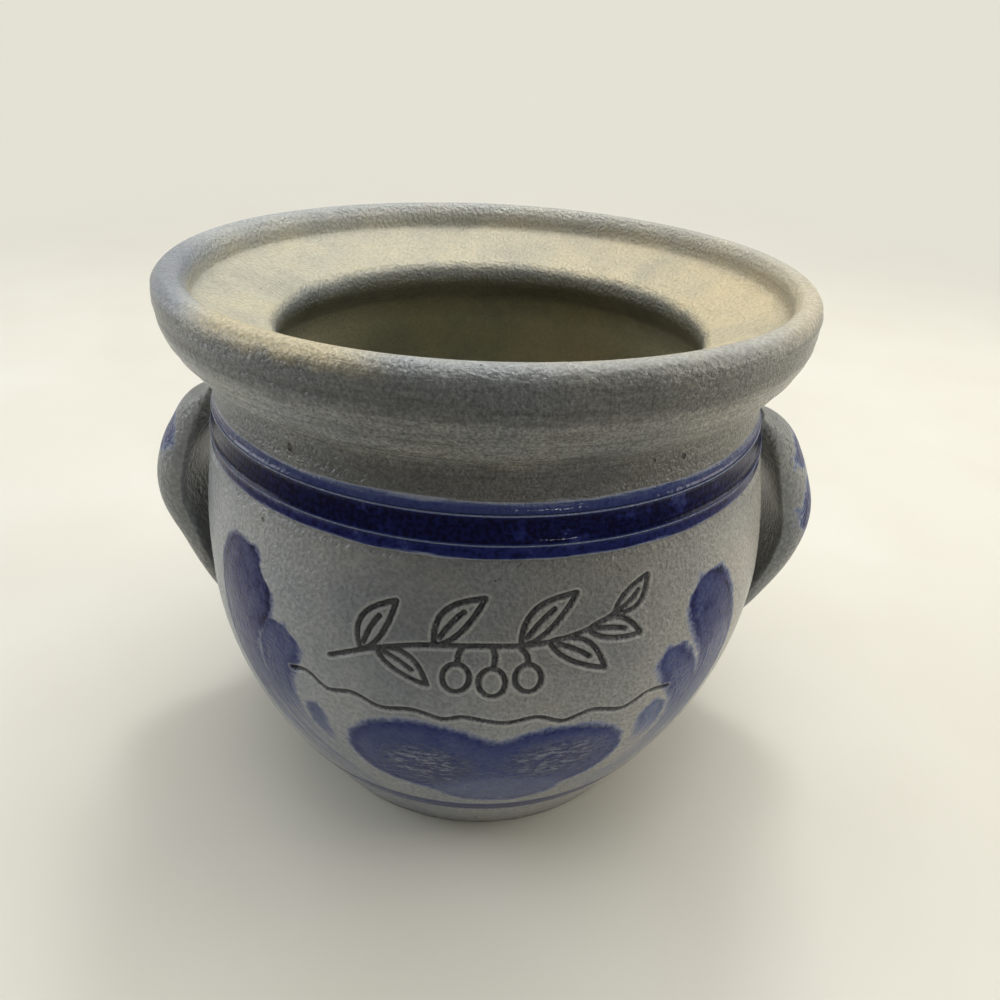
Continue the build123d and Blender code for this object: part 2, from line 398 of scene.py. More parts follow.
blot_edge = smooth_line([
    (7, 47.6), (4, 48.6), (1, 50.2), (-3, 51.5), (-9, 52.3), (-15, 51.0), (-20, 48.0), (-23, 44.0),
    (-23.6, 39.0), (-21.5, 34.5), (-18, 31.6), (-13, 29.6), (-8, 28.6), (-6, 27.6), (-4, 25.4), (0, 23.8),
    (6, 23.0), (11, 23.0), (16, 24.2), (20, 26.6), (21.2, 29.4), (25, 31.0), (29, 33.5), (31.6, 37.0),
    (32.3, 41.0), (31, 45.0), (28, 48.2), (24, 50.2), (19, 51.0), (14, 50.8), (10, 49.4), (7, 47.6),
], 6)
gap = np.full(len(used), FAR)
near = outer[used] & (np.abs(across[used]) < 50) & (height[used] < 65) & (height[used] > 8)
x, z = across[used][near], height[used][near]
a, b = blot_edge[:-1], blot_edge[1:]
crossing = (a[:, 1] > z[:, None]) != (b[:, 1] > z[:, None])
climb = np.where(b[:, 1] == a[:, 1], 1, b[:, 1] - a[:, 1])
at = a[:, 0] + (z[:, None] - a[:, 1]) * (b[:, 0] - a[:, 0]) / climb
inside = (crossing & (at > x[:, None])).sum(1) % 2 == 1
gap[near] = nearest(blot_edge, x, z)[0] * np.where(inside, -1, 1)
dabbed = np.maximum(
    1 - np.hypot((across[used] + 7.5) / 9.5, (height[used] - 38.5) / 6.5),
    1 - np.hypot((across[used] - 18.5) / 10.0, (height[used] - 40.5) / 6.5),
)
washed = 1 - np.hypot((across[used] - 8) / 17, (height[used] - 26) / 10)
keep(jar, "blot", np.stack([gap, np.clip(dabbed, -1, 1), np.clip(washed, -1, 1)], 1))

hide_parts("jar_body")
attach(jar, "root")


def linear(hex_colour):
    """A colour written as sRGB hex, turned to linear numbers with an alpha of one."""
    srgb = np.array([int(hex_colour[i:i + 2], 16) for i in (1, 3, 5)]) / 255
    return (*np.where(srgb <= 0.04045, srgb / 12.92, ((srgb + 0.055) / 1.055)**2.4).tolist(), 1.0)


def node(kind, *inputs, out=0, stops=(), **settings):
    """Adds a node to the tree in hand. A second word in its kind is its operation, way of blending or
    easing. Inputs come in their order, or as one dict by name: a socket is linked and anything else is
    set. A ramp's stops are (place from 0 to 1, hex colour). Gives back the output with that number or
    name."""
    kind, _, choice = kind.partition(" ")
    made = tree.nodes.new("ShaderNode" + kind)
    for setting, value in settings.items():
        setattr(made, setting, value)
    for setting in ("operation", "blend_type", "interpolation_type"):
        if choice and hasattr(made, setting):
            setattr(made, setting, choice)
    sockets = [socket for socket in made.inputs if socket.enabled]
    if inputs and isinstance(inputs[0], dict):
        pairs = [(made.inputs[name], value) for name, value in inputs[0].items()]
    else:
        pairs = zip(sockets, inputs)
    for socket, value in pairs:
        if isinstance(value, bpy.types.NodeSocket):
            tree.links.new(value, socket)
        else:
            socket.default_value = value
    for place, _ in stops[1:-1]:
        made.color_ramp.elements.new(place)
    for number, (place, colour) in enumerate(stops):
        made.color_ramp.elements[number].position = place
        made.color_ramp.elements[number].color = linear(colour)
    given = [socket for socket in made.outputs if socket.enabled]
    if isinstance(out, str):
        return made.outputs[out]
    return given[out] if given else None


def new_material(name):
    """An empty node material and its tree."""
    material = bpy.data.materials.new(name)
    material.use_nodes = True
    material.node_tree.nodes.clear()
    return material, material.node_tree


# Salt glaze on grey stoneware: salt vapour melts the clay's own surface to a thin, glossy, orange-peel
# glass, grey where the kiln was smoky, warmer where it was thin, with specks of iron and pits, and with
# painted shade over the front's middle and round the neck and throat, and painted light under the rim.
# Cobalt burns through it from a greyish violet wash to almost black.
salt_glaze, tree = new_material("salt_glazed_stoneware_with_cobalt")
where = node("TexCoord", out="Object")
s = node("Attribute", out="Fac", attribute_name="along_wall")
z = node("Attribute", out="Fac", attribute_name="turned_height")
x = node("Math MULTIPLY", node("SeparateXYZ", where), 1000)
y = node("Math MULTIPLY", node("SeparateXYZ", where, out="Y"), 1000)

# Sizes of the patterns in mm. Real sand in the clay is about 0.2 mm, and turning lines are as fine; both
# are drawn coarser, because anything finer doesn't show in the render.
BLOTCHES, SMALL_BLOTCHES, CLOUD = 22, 5, 3.5
PEEL, SAND, STRIATIONS = 0.8, 0.5, 0.9
FRAYING, FLECKS = 1.6, 1.0
blotches = node("TexNoise", where, 1000 / BLOTCHES, 3, 0.6)
small_blotches = node("TexNoise", where, 1000 / SMALL_BLOTCHES, 3, 0.6)
peel = node("TexNoise", where, 1000 / PEEL, 1.5, 0.5)
sand = node("TexNoise", where, 1000 / SAND, 2, 0.7)
turned = node("Mapping", {"Vector": where, "Scale": (0.08, 0.08, 1.0)})
striations = node("TexNoise", turned, 1000 / STRIATIONS, 3, 0.65)

total = float(along[-1])
wobbled = node("Math ADD", s, node("Math MULTIPLY_ADD", small_blotches, 3.0, -1.5))
share = node("Math DIVIDE", wobbled, total)
# Colours along the wall. Some stand for light: the rim's underside is paler, painted light thrown up from
# below, with a painted highlight along the rim's corner; the neck under the rim is darker, partly a browner
# clay and partly painted shade; and round the throat and just inside it the colour is darker, painted shade.
base = node(
    "ValToRGB", share, stops=[
        (0.0, "#b6ae9f"), ((foot_edge - 2) / total, "#aaa498"), ((foot_edge + 1.5) / total, "#bbbdbf"),
        (along_at(40, foot_edge, crest) / total, "#b5b8ba"), ((band_low - 3) / total, "#afb1b2"),
        ((band_low + 12) / total, "#83837f"), ((neck_top - 1.0) / total, "#959590"),
        ((neck_top + 1.0) / total, "#d0d0cb"), ((rim_corner - 2.5) / total, "#c6c8c6"),
        ((rim_corner + 1.2) / total, "#c2c3c1"), ((rim_corner + 2.6) / total, "#848685"),
        ((crest - 3.5) / total, "#939696"), ((crest - 0.5) / total, "#c6caca"),
        ((crest + 1.0) / total, "#c2c3bf"), ((crest + 6.5) / total, "#b9b4a2"),
        ((crest + 9.5) / total, "#d8d0b6"), ((throat - 5.5) / total, "#d8d0b6"),
        ((throat - 3.5) / total, "#9a9d99"), ((throat - 1) / total, "#686759"),
        ((throat + 5) / total, "#716f62"), ((throat + 16) / total, "#ccc8b0"),
        (inside_low / total, "#d2ceb6"), (1.0, "#d4d0b8"),
    ],
)
cool_to_warm = node(
    "MapRange SMOOTHSTEP", node("Math ADD", x, node("Math MULTIPLY_ADD", blotches, 80, -40)), -70, 70,
)
base = node(
    "Mix MULTIPLY", 1.0, base,
    node("ValToRGB", cool_to_warm, stops=[(0.0, "#e6ebf3"), (0.5, "#fafafa"), (1.0, "#fff7ea")]),
    data_type="RGBA",
)
base = node(
    "Mix MULTIPLY", 1.0, base,
    node("ValToRGB", blotches, stops=[(0.25, "#d6d9dc"), (0.5, "#f2f2f1"), (0.75, "#fffcf3")]),
    data_type="RGBA",
)
# Painted shade, partly also a smoky patch: the wall is darkened towards the front's middle, a little right
# of it, most from the belly's top to the rim, and not on the lip or inside.
from_middle = node("MapRange SMOOTHSTEP", node("Math ABSOLUTE", node("Math SUBTRACT", x, 6.0)), 10, 54)
front_shade_and_smoke = node("ValToRGB", from_middle, stops=[(0.0, "#a0a1a3"), (1.0, "#ffffff")])
front_shade_and_smoke_amount = node(
    "Math MULTIPLY", node("MapRange SMOOTHSTEP", z, 46, 78, 0.42, 1.0),
    node("MapRange SMOOTHSTEP", z, 98, 105, 1.0, 0.65),
)
front_shade_and_smoke_amount = node("Math MULTIPLY", front_shade_and_smoke_amount, node("MapRange SMOOTHSTEP", s, crest + 2, crest - 2))
base = node("Mix MULTIPLY", front_shade_and_smoke_amount, base, front_shade_and_smoke, data_type="RGBA")

# The lip is blue-grey at the left, straw at the front left, and cream at the right.
on_lip = node(
    "Math MULTIPLY", node("MapRange SMOOTHSTEP", wobbled, crest - 4.5, crest - 1.5),
    node("MapRange SMOOTHSTEP", wobbled, crest + 5.5, crest + 3.0),
)
for low, high, colour_there in ((-80, -50, "#717987"), (-44, -16, "#cdbd92"), (50, 80, "#cdc0a2")):
    spot = node(
        "Math MULTIPLY", node("MapRange SMOOTHSTEP", x, low - 6, low + 6),
        node("MapRange SMOOTHSTEP", x, high + 8, high - 6),
    )
    spot = node("Math MULTIPLY", spot, node("Math MULTIPLY", on_lip, 0.75))
    spot = node("Math MULTIPLY", spot, node("MapRange SMOOTHSTEP", y, 12, -12))
    base = node("Mix MIX", spot, base, linear(colour_there), data_type="RGBA")

# The salt's orange peel: pale walls round darker hollows, and on the rim's face and the neck a sandier,
# pitted skin.
mottle = node("ValToRGB", peel, stops=[(0.34, "#c0c3c5"), (0.5, "#e4e5e6"), (0.64, "#ffffff")])
base = node(
    "Mix MULTIPLY", node("MapRange SMOOTHSTEP", s, crest - 2, crest + 4, 0.6, 0.3), base, mottle,
    data_type="RGBA",
)
sandy = node(
    "Math MULTIPLY", node("MapRange SMOOTHSTEP", s, band_low + 10, neck_top - 2),
    node("MapRange SMOOTHSTEP", s, crest, crest - 3),
)
gritty = node("ValToRGB", sand, stops=[(0.36, "#8d8c8a"), (0.5, "#dad9d7"), (0.62, "#ffffff")])
base = node("Mix MULTIPLY", node("Math MULTIPLY", sandy, 0.7), base, gritty, data_type="RGBA")
streaked = node("ValToRGB", striations, stops=[(0.35, "#a49f97"), (0.55, "#f2f2f0"), (0.7, "#ffffff")])
base = node("Mix MULTIPLY", node("Math MULTIPLY", sandy, 0.5), base, streaked, data_type="RGBA")

# Iron specks: round dark spots in scattered cells, some large, and the few large ones on the front.
specks = 0.0
for spacing_mm, radius_mm, share_kept in ((5.0, 0.26, 0.40), (11.0, 0.45, 0.30)):
    cells_in = node("TexVoronoi", where, 1000 / spacing_mm).node.outputs
    chance = node("SeparateColor", cells_in["Color"])
    spot = node(
        "MapRange SMOOTHSTEP", cells_in["Distance"], radius_mm / spacing_mm, 0.55 * radius_mm / spacing_mm,
    )
    specks = node(
        "Math MAXIMUM", specks,
        node("Math MULTIPLY", spot, node("MapRange SMOOTHSTEP", chance, share_kept, share_kept - 0.05)),
    )
for speck_across, speck_height, radius_mm in (
    (-42.9, 83.5, 0.6), (25.7, 75.0, 0.4), (4.1, 70.7, 0.35), (41.7, 99.4, 0.6), (34.4, 100.1, 0.4),
    (4.5, 82.5, 0.3), (35.0, 82.5, 0.3), (-36.5, 98.6, 0.8),
):
    turn, out = speck_across / BELLY, float(belly_radius(np.array(speck_height))) / 1000
    middle = (out * math.sin(turn), -out * math.cos(turn), speck_height / 1000)
    away = node("VectorMath DISTANCE", where, middle, out="Value")
    specks = node(
        "Math MAXIMUM", specks, node("MapRange SMOOTHSTEP", away, radius_mm / 1000, 0.5 * radius_mm / 1000),
    )
base = node("Mix MIX", node("Math MULTIPLY", specks, 0.85), base, linear("#26221f"), data_type="RGBA")

# Cobalt, as a share of its full depth. One broad ring, darkest in its middle, is worn thin on the two
# turned ridges; below are the line at the foot, the strokes, and the blot.
ragged = node("Math MULTIPLY_ADD", node("TexNoise", turned, 1000 / STRIATIONS, 3, 0.6), 1.6, -0.8)
frayed = node("Math ADD", z, ragged)
on_outside = node("MapRange SMOOTHSTEP", s, crest, crest - 0.5)


def band(along_it, low, high, soft_low, soft_high):
    """A ring between two heights in mm, with its two edges this soft."""
    return node(
        "Math MULTIPLY", node("MapRange SMOOTHSTEP", along_it, low - soft_low, low + soft_low),
        node("MapRange SMOOTHSTEP", along_it, high + soft_high, high - soft_high),
    )


# The brush has missed the crests of the two ridges.
worn = node("Math MAXIMUM", band(z, 93.4, 93.85, 0.15, 0.15), band(z, 88.45, 88.85, 0.15, 0.15))
shade = node(
    "Math MINIMUM", node("MapRange SMOOTHSTEP", z, 94.1, 93.6, 0.8, 1.0),
    node("MapRange SMOOTHSTEP", z, 88.3, 88.9, 0.94, 1.0),
)
paler_top = node("Math MULTIPLY", node("MapRange SMOOTHSTEP", z, 93.6, 95.5), -0.1)
patchy = node("MapRange SMOOTHSTEP", node("Math ADD", small_blotches, paler_top), 0.25, 0.45, 0.88, 1.0)
RING_FOOT, RING_TOP, FOOT_LINE_FOOT, FOOT_LINE_TOP = 86.3, 95.6, 14.9, 20.3
in_ring = band(frayed, RING_FOOT, RING_TOP, 0.4, 0.8)
cobalt = node("Math MULTIPLY", in_ring, node("Math MULTIPLY", shade, patchy))
cobalt = node("Math MULTIPLY", cobalt, node("Math MULTIPLY_ADD", worn, -0.58, 1.0))
brushed = node("Math ADD", z, node("Math MULTIPLY", ragged, 0.4))
foot_line = node(
    "Math MULTIPLY", band(brushed, FOOT_LINE_FOOT, FOOT_LINE_TOP, 0.4, 0.5),
    node("MapRange SMOOTHSTEP", blotches, 0.3, 0.55, 0.74, 0.88),
)
cobalt = node("Math MAXIMUM", cobalt, foot_line)

# A stroke is full at its head. Along its length in mm it dries: bristle streaks open in it and it pales,
# while its edge stays a little deeper, where the wet colour has gathered.
edge_noise = node("Math MULTIPLY_ADD", node("TexNoise", where, 1000 / FRAYING, 4, 0.7), 2.4, -1.2)
cloud = node("TexNoise", where, 1000 / CLOUD, 3, 0.6)
for name, length, strength in (
    ("first_stroke", 54.0, 0.98), ("second_stroke", 34.0, 0.88), ("third_stroke", 16.0, 0.66),
):
    parts = node("SeparateXYZ", node("Attribute", out="Vector", attribute_name=name)).node.outputs
    gone = node("Math DIVIDE", parts["Y"], length)
    bristles = node(
        "CombineXYZ", node("Math MULTIPLY", parts["Y"], 0.03), node("Math MULTIPLY", parts["Z"], 1.1),
    )
    streak = node("TexNoise", bristles, 1.0, 3.0, 0.6)
    dry = node("MapRange SMOOTHSTEP", gone, 0.2, 0.95)
    cover = node("MapRange SMOOTHSTEP", node("Math ADD", parts["X"], edge_noise), 1.3, -1.3)
    loaded = node(
        "MapRange SMOOTHSTEP", node("Math SUBTRACT", streak, node("Math MULTIPLY", dry, 0.1)), 0.3, 0.55,
    )
    thinned = node("Math MULTIPLY", cover, node("Mix MIX", dry, (1, 1, 1, 1), loaded, data_type="RGBA"))
    rim_of_stroke = node(
        "MapRange SMOOTHSTEP", node("Math ADD", parts["X"], edge_noise), -3.0, -0.6, 0.0, 0.1,
    )
    depth = node("Math ADD", node("Math MULTIPLY_ADD", dry, -0.42, strength - 0.12), rim_of_stroke)
    depth = node("Math ADD", depth, node("Math MULTIPLY_ADD", cloud, 0.3, -0.15))
    cobalt = node("Math MAXIMUM", cobalt, node("Math MULTIPLY", thinned, depth))

# The blot is mottled in the middle of its lobes, where wet colour was dragged off, and thin at its foot.
blot = node("SeparateXYZ", node("Attribute", out="Vector", attribute_name="blot")).node.outputs
cover = node("MapRange SMOOTHSTEP", node("Math ADD", blot["X"], edge_noise), 1.3, -1.3)
dragged = node("Mapping", {"Vector": where, "Scale": (0.4, 0.4, 1.2), "Rotation": (0.0, 0.25, 0.0)})
flecks_everywhere = node("MapRange SMOOTHSTEP", node("TexNoise", dragged, 1000 / FLECKS, 4, 0.8), 0.42, 0.62)
in_lobe = node("Math ADD", blot["Y"], node("Math MULTIPLY", edge_noise, 0.2))
fleck = node("Math MULTIPLY", flecks_everywhere, node("MapRange SMOOTHSTEP", in_lobe, -0.25, 0.45))
at_foot = node("Math ADD", blot["Z"], node("Math MULTIPLY", edge_noise, 0.1))
wash = node("MapRange SMOOTHSTEP", at_foot, -0.1, 0.25)
depth = node("Math MULTIPLY_ADD", cloud, 0.24, 0.64)
depth = node(
    "Math ADD", depth,
    node("MapRange SMOOTHSTEP", node("Math ADD", blot["X"], edge_noise), -3.2, -0.8, 0.0, 0.08),
)
depth = node("Math MULTIPLY", depth, node("Math MULTIPLY_ADD", wash, -0.26, 1.0))
depth = node("Math MULTIPLY", depth, node("Math MULTIPLY_ADD", fleck, -0.66, 1.0))
cobalt = node("Math MAXIMUM", cobalt, node("Math MULTIPLY", cover, depth))
cobalt = node("Math MULTIPLY", cobalt, on_outside)
cobalt = node("Math MULTIPLY", cobalt, node("MapRange SMOOTHSTEP", peel, 0.3, 0.6, 1.02, 0.94))
blue = node(
    "ValToRGB", cobalt, stops=[
        (0.0, "#8e9197"), (0.25, "#787c8d"), (0.45, "#576486"), (0.62, "#35416c"), (0.76, "#222f63"),
        (0.88, "#0a1550"), (0.97, "#01042c"), (1.0, "#000124"),
    ],
)
colour = node("Mix MIX", node("MapRange SMOOTHSTEP", cobalt, 0.0, 0.25), base, blue, data_type="RGBA")

# In the cut lines the cobalt and ash have pooled dark, with painted shade in the groove, and their thrown-up
# edges carry a pale painted highlight.
line_at = node("Attribute", out="Fac", attribute_name="cut_distance")
rough_line = node("Math ADD", line_at, node("Math MULTIPLY_ADD", sand, 0.5, -0.25))
burr_highlight = node(
    "Math MULTIPLY", node("MapRange SMOOTHSTEP", rough_line, 0.45, 0.75),
    node("MapRange SMOOTHSTEP", rough_line, 1.25, 0.85),
)
colour = node("Mix MIX", node("Math MULTIPLY", burr_highlight, 0.3), colour, linear("#b9bab4"), data_type="RGBA")
colour = node(
    "Mix MIX", node("Math MULTIPLY", node("MapRange SMOOTHSTEP", rough_line, 0.62, 0.34), 0.93), colour,
    linear("#1b1c22"), data_type="RGBA",
)

# The glaze's skin stands in peaks of 0.6 mm at most, is calmer where the cobalt has melted with it, and
# sinks at the specks.
GLAZE_DEPTH = 0.0006    # m
bump_height = node("Math MULTIPLY", peel, node("Math MULTIPLY_ADD", sandy, -0.45, 1.0))
bump_height = node("Math ADD", bump_height, node("Math MULTIPLY", sand, 0.35))
bump_height = node(
    "Math ADD", bump_height, node("Math MULTIPLY", striations, node("Math MULTIPLY", sandy, 0.6)),
)
bump_height = node("Math MULTIPLY", bump_height, node("MapRange SMOOTHSTEP", cobalt, 0.3, 0.8, 1.0, 0.12))
bump_height = node("Math SUBTRACT", bump_height, node("Math MULTIPLY", specks, 0.8))
surface = node("Bump", {"Height": bump_height, "Strength": 1.0, "Distance": GLAZE_DEPTH})
bare = node("MapRange SMOOTHSTEP", s, foot_edge + 0.5, foot_edge - 1.0)
gloss = node("MapRange SMOOTHSTEP", cobalt, 0.55, 1.0, 0.22, 0.12)
gloss = node("Mix MIX", bare, gloss, (0.85, 0.85, 0.85, 1), data_type="RGBA")
sheen = node("MapRange SMOOTHSTEP", cobalt, 0.5, 1.0, 0.4, 0.05)
shader = node(
    "BsdfPrincipled",
    {"Base Color": colour, "Roughness": gloss, "Normal": surface, "Specular IOR Level": sheen, "IOR": 1.5},
)
node("OutputMaterial", shader)
jar.data.materials.append(salt_glaze)

# The strap handles
# Two straps of the same clay, pulled by hand to a flat rounded bar, bent, and luted to the neck and the
# lower belly at either side, where their ends are smeared out into the wall. Dabs of cobalt cross each
# back.

WIDTH, THICKNESS = 21.5, 8.5    # mm
TWIST = 22                      # degrees, at the top end
SWELL, SWELL_REACH = 1.5, 1.3   # mm, how far the joint swells and over what distance from the wall


def even_curve(points, count):
    """A curve through points with no jump in its bend: the bends at the points solve one set of linear
    equations, and each span is the cubic that has them at its ends."""
    p = np.asarray(points, float)
    n = len(p)
    h = np.hypot(*np.diff(p, axis=0).T)
    m = np.eye(n)
    m[1:-1] = 0
    inner = np.arange(1, n - 1)
    m[inner, inner - 1], m[inner, inner], m[inner, inner + 1] = h[:-1] / 6, (h[:-1] + h[1:]) / 3, h[1:] / 6
    climb = np.diff(p, axis=0) / h[:, None]
    bend = np.linalg.solve(m, np.vstack([[[0, 0]], np.diff(climb, axis=0), [[0, 0]]]))
    knots = np.r_[0, np.cumsum(h)]
    t = np.linspace(0, knots[-1], count)
    k = np.clip(np.searchsorted(knots, t) - 1, 0, n - 2)
    b = ((t - knots[k]) / h[k])[:, None]
    a = 1 - b
    bowed = (a**3 - a) * bend[k] + (b**3 - b) * bend[k + 1]
    return a * p[k] + b * p[k + 1] + bowed * (h[k]**2)[:, None] / 6


def strap(name, line, side, width, thickness):
    """A strap's surface in metres: a half-round section, crowned outwards and flat towards the jar, is
    carried along a curve in the plane through the axis. Its width and thickness vary along it, its top
    end is turned so that the front edge stands higher, and near the wall it swells into the joint."""
    path = even_curve(line, 160)
    travel = np.r_[0, np.cumsum(np.hypot(*np.diff(path, axis=0).T))]
    along_strap = np.linspace(0, travel[-1], 130)
    centre = np.stack([np.interp(along_strap, travel, path[:, i]) for i in (0, 1)], 1)
    way = np.gradient(centre, axis=0)
    way /= np.hypot(way[:, 0], way[:, 1])[:, None]
    out = np.stack([-way[:, 1], way[:, 0]], 1)
    share = along_strap / travel[-1]
    places = np.linspace(0, 1, 9)
    widths = smooth_line(np.stack([places, [1.10, 1.05, 1, 1, 1, 1, 0.97, 0.95, 0.95]], 1))
    depths = smooth_line(np.stack([places, [0.20, 0.82, 0.95, 0.99, 1, 0.85, 0.70, 0.60, 0.34]], 1))
    half_width = width / 2 * np.interp(share, *widths.T)[:, None]
    depth = thickness * np.interp(share, *depths.T)[:, None]
    twist = side * np.radians(np.interp(share, [0, 0.35], [TWIST, 0]))[:, None]
    turn = np.linspace(0, 2 * math.pi, 96, endpoint=False)
    outer_half = np.sin(turn) >= 0
    wide = np.sign(np.cos(turn)) * np.abs(np.cos(turn))**np.where(outer_half, 1.0, 0.4)
    thick = np.sign(np.sin(turn)) * np.abs(np.sin(turn))**np.where(outer_half, 1.0, 0.7)
    w = half_width * wide
    t = thick * np.where(outer_half, depth, 1.0) + 0.10 * np.sin(share[:, None] * 31 + wide * 2) * thick**2
    w, t = w * np.cos(twist) - t * np.sin(twist), w * np.sin(twist) + t * np.cos(twist)
    radial = centre[:, :1] + out[:, :1] * t
    height = centre[:, 1:] + out[:, 1:] * t
    wall = belly_radius(np.clip(height, 1, NECK_TOP))
    gap = np.clip(np.hypot(radial, w) - wall, 0, None)
    swell = SWELL * np.exp(-gap / SWELL_REACH)
    w = w + swell * wide
    radial = radial + out[:, :1] * swell * thick * 0.9
    height = height + out[:, 1:] * swell * thick * 0.9
    places = np.stack([side * radial, -side * w, height], -1).reshape(-1, 3) / 1000
    count, round_it = len(share), len(turn)
    index = np.arange(count * round_it).reshape(count, round_it)
    ring = np.concatenate([index, index[:, :1]], 1)
    cells = np.stack([ring[:-1, :-1], ring[1:, :-1], ring[1:, 1:], ring[:-1, 1:]], -1).reshape(-1, 4)
    piece = surface_piece(name, places, [cells, ring[:1, :-1], ring[-1:, -2::-1]])
    keep(piece, "on_strap", np.stack([np.repeat(along_strap, round_it), w.ravel(),
                                      np.tile(thick, count)], 1))
    return piece


TOP_END = (56.0, 89.3)    # inside the neck's wall
left_line = [TOP_END, (61.7, 83.7), (66.5, 76.3), (70.5, 67.0), (68.6, 54.2), (63.9, 39.1), (56.6, 30.0)]
right_line = [TOP_END, (59.8, 86.0), (65.2, 77.6), (69.6, 67.0), (68.4, 51.6), (62.0, 38.5), (56.8, 32.2)]
# Each dab has its middle and half length along the strap, and its half width across it, in mm.
left_dabs = ((17.0, 7.5, 9.0), (57.0, 5.0, 8.0))
right_dabs = ((13.5, 5.5, 9.0), (27.0, 7.5, 9.5), (60.0, 5.0, 8.0))
for name, line, side, node_name, dabs in (
    ("left_strap_handle", left_line, -1, "left_handle", left_dabs),
    ("right_strap_handle", right_line, 1, "right_handle", right_dabs),
):
    piece = strap(name, line, side, WIDTH, THICKNESS)

    # The same salt glaze over a darker grey: softly shining, orange-peeled clay with the ends of a full
    # brush laid across it.
    material, tree = new_material("salt_glazed_strap_with_cobalt_dabs_" + node_name.split("_")[0])
    where = node("TexCoord", out="Object")
    blotches = node("TexNoise", where, 1000 / 14, 3, 0.6)
    peel = node("TexNoise", where, 1000 / 1.0, 1.5, 0.5)
    parts = node("SeparateXYZ", node("Attribute", out="Vector", attribute_name="on_strap")).node.outputs
    colour = node("ValToRGB", blotches, stops=[(0.3, "#767879"), (0.5, "#848685"), (0.7, "#8f8f8c")])
    colour = node(
        "Mix MULTIPLY", 0.6, colour,
        node("ValToRGB", peel, stops=[(0.34, "#c0c3c5"), (0.5, "#e4e5e6"), (0.64, "#ffffff")]),
        data_type="RGBA",
    )
    edge_noise = node("Math MULTIPLY_ADD", node("TexNoise", where, 1000 / 2.5, 3, 0.6), 0.5, -0.25)
    cobalt = 0.0
    for middle, half, reach in dabs:
        off = node("Math DIVIDE", node("Math SUBTRACT", parts["X"], middle), half)
        aside = node("Math DIVIDE", parts["Y"], reach)
        off = node(
            "Math SQRT",
            node("Math ADD", node("Math MULTIPLY", off, off), node("Math MULTIPLY", aside, aside)),
        )
        cobalt = node(
            "Math MAXIMUM", cobalt,
            node("MapRange SMOOTHSTEP", node("Math ADD", off, edge_noise), 1.15, 0.85),
        )
    cobalt = node("Math MULTIPLY", cobalt, node("MapRange SMOOTHSTEP", parts["Z"], -0.1, 0.2))
    cobalt = node("Math MULTIPLY", cobalt, node("MapRange SMOOTHSTEP", blotches, 0.3, 0.6, 0.8, 0.92))
    blue = node(
        "ValToRGB", cobalt, stops=[
            (0.0, "#8e9197"), (0.25, "#787f90"), (0.45, "#576486"), (0.62, "#3a4570"), (0.76, "#243064"),
            (1.0, "#0f1a4c"),
        ],
    )
    colour = node("Mix MIX", node("MapRange SMOOTHSTEP", cobalt, 0.0, 0.25), colour, blue, data_type="RGBA")
    surface = node("Bump", {"Height": peel, "Strength": 1.0, "Distance": GLAZE_DEPTH})
    shader = node(
        "BsdfPrincipled",
        {"Base Color": colour, "Roughness": 0.34, "Normal": surface, "Specular IOR Level": 0.3, "IOR": 1.5},
    )
    node("OutputMaterial", shader)
    piece.data.materials.append(material)
    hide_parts(node_name)
    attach(piece, "root")

# The studio floor
# A sheet of pale, matt paper on the table that curves up behind the jar, in metres. It is faintly uneven
# in tone, which keeps the jar's soft shadow from looking drawn.
BEND_START, BEND_RADIUS = 0.55, 0.45
bend = np.linspace(0, math.pi / 2, 24)[1:]
curved = np.stack([BEND_START + BEND_RADIUS * np.sin(bend), BEND_RADIUS - BEND_RADIUS * np.cos(bend)], 1)
sweep = np.vstack([[(-3.0, 0.0), (BEND_START, 0.0)], curved, [(1.0, 2.0)]])
over = np.array([-2.5, 2.5])
across_it, depth_in = np.meshgrid(over, sweep[:, 0], indexing="ij")
height = np.broadcast_to(sweep[:, 1], across_it.shape)
places = np.stack([across_it, depth_in, height], -1)
index = np.arange(places.shape[0] * places.shape[1]).reshape(places.shape[:2])
cells = np.stack([index[0, :-1], index[1, :-1], index[1, 1:], index[0, 1:]], -1)
floor = surface_piece("paper_sweep", places.reshape(-1, 3), [cells])
paper, tree = new_material("pale_studio_paper")
where = node("TexCoord", out="Object")
tone = node("ValToRGB", node("TexNoise", where, 1000 / 60, 2), stops=[(0.3, "#d5d2c7"), (0.7, "#d9d7cd")])
shader = node("BsdfPrincipled", {"Base Color": tone, "Roughness": 0.9})


def seen_rays():
    """One for rays from the camera and for those that metal, glaze or glass sends on, else nought."""
    rays = node("LightPath").node.outputs
    sent_on = node("Math MAXIMUM", rays["Is Glossy Ray"], rays["Is Transmission Ray"])
    return node("Math MAXIMUM", rays["Is Camera Ray"], sent_on)


# Away from the jar the paper goes over to the plain backdrop colour, so that no edge shows.
BACKDROP = "#e4e1d5"
away = node("VectorMath LENGTH", where, out="Value")
far = node("Math MULTIPLY", node("MapRange SMOOTHSTEP", away, 0.35, 0.85), seen_rays())
plain_backdrop = node("Emission", {"Color": linear(BACKDROP), "Strength": 1.0})
sheet = node("MixShader", far, shader, plain_backdrop)
node("OutputMaterial", sheet)
floor.data.materials.append(paper)

